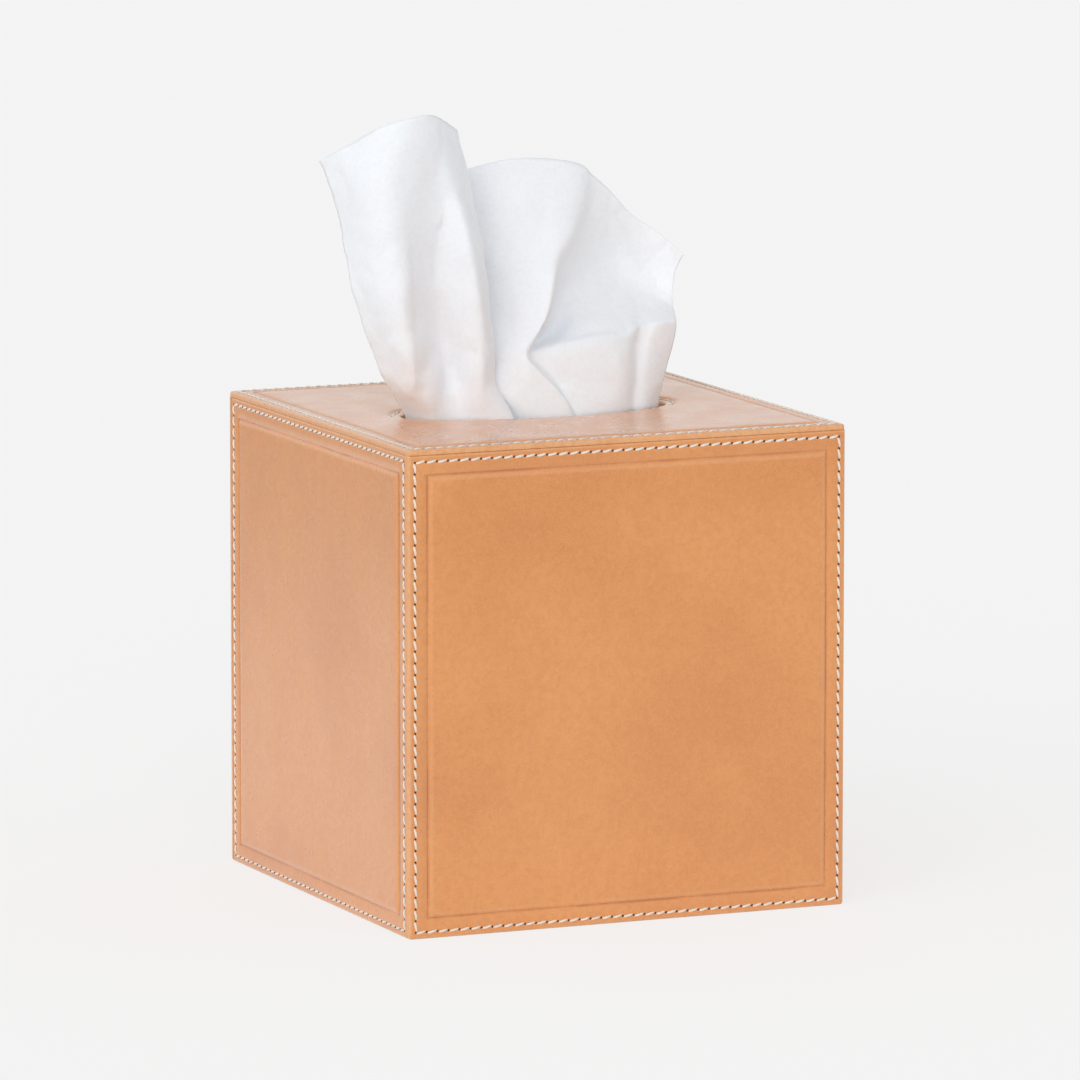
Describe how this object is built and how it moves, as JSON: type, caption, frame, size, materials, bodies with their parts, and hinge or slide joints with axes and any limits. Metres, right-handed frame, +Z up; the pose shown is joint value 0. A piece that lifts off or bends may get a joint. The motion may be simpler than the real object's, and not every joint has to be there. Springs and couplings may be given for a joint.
{
  "type": "tissue box cover",
  "caption": "Square stitched leather tissue box cover with an oval opening in its top, standing over an upright refill carton with a tissue pulled up.",
  "frame": {"origin": "middle of the base, on the surface that the cover stands on", "axes": "+Z up through the opening, -Y towards the front panel, +X to the right seen from the front, along the opening's length"},
  "size_m": [0.1308, 0.1308, 0.2197],
  "materials": {
    "tan_leather": "satin",
    "cream_thread": "matte",
    "stiff_board": "matte",
    "suede_lining": "matte",
    "white_carton": "satin",
    "clear_film": "gloss",
    "tissue_stack": "matte",
    "white_tissue": "matte"
  },
  "bodies": {
    "refill": {"refill_carton": "white_carton", "slot_film": "clear_film", "tissue_stack": "tissue_stack"},
    "cover": {"leather_front": "tan_leather", "leather_back": "tan_leather", "leather_left": "tan_leather", "leather_right": "tan_leather", "leather_top": "tan_leather", "thread_front": "cream_thread", "thread_back": "cream_thread", "thread_left": "cream_thread", "thread_right": "cream_thread", "thread_top": "cream_thread", "board_front": "stiff_board", "board_back": "stiff_board", "board_left": "stiff_board", "board_right": "stiff_board", "board_top": "stiff_board", "lining_front": "suede_lining", "lining_back": "suede_lining", "lining_left": "suede_lining", "lining_right": "suede_lining", "lining_top": "suede_lining", "thread_opening": "cream_thread", "opening_collar": "tan_leather", "base_strip_front": "tan_leather", "base_strip_back": "tan_leather", "base_strip_left": "tan_leather", "base_strip_right": "tan_leather"},
    "tissue": {"popup_tissue": "white_tissue"}
  },
  "joints": [
    {"name": "cover_lift", "type": "slide", "parent": "refill", "child": "cover", "axis": [0, 0, 1], "range_m": [0, 0.224], "deforming": ["popup_tissue"]},
    {"name": "tissue_pull", "type": "slide", "parent": "refill", "child": "tissue", "axis": [0, 0, 1], "range_m": [0, 0.084]}
  ]
}
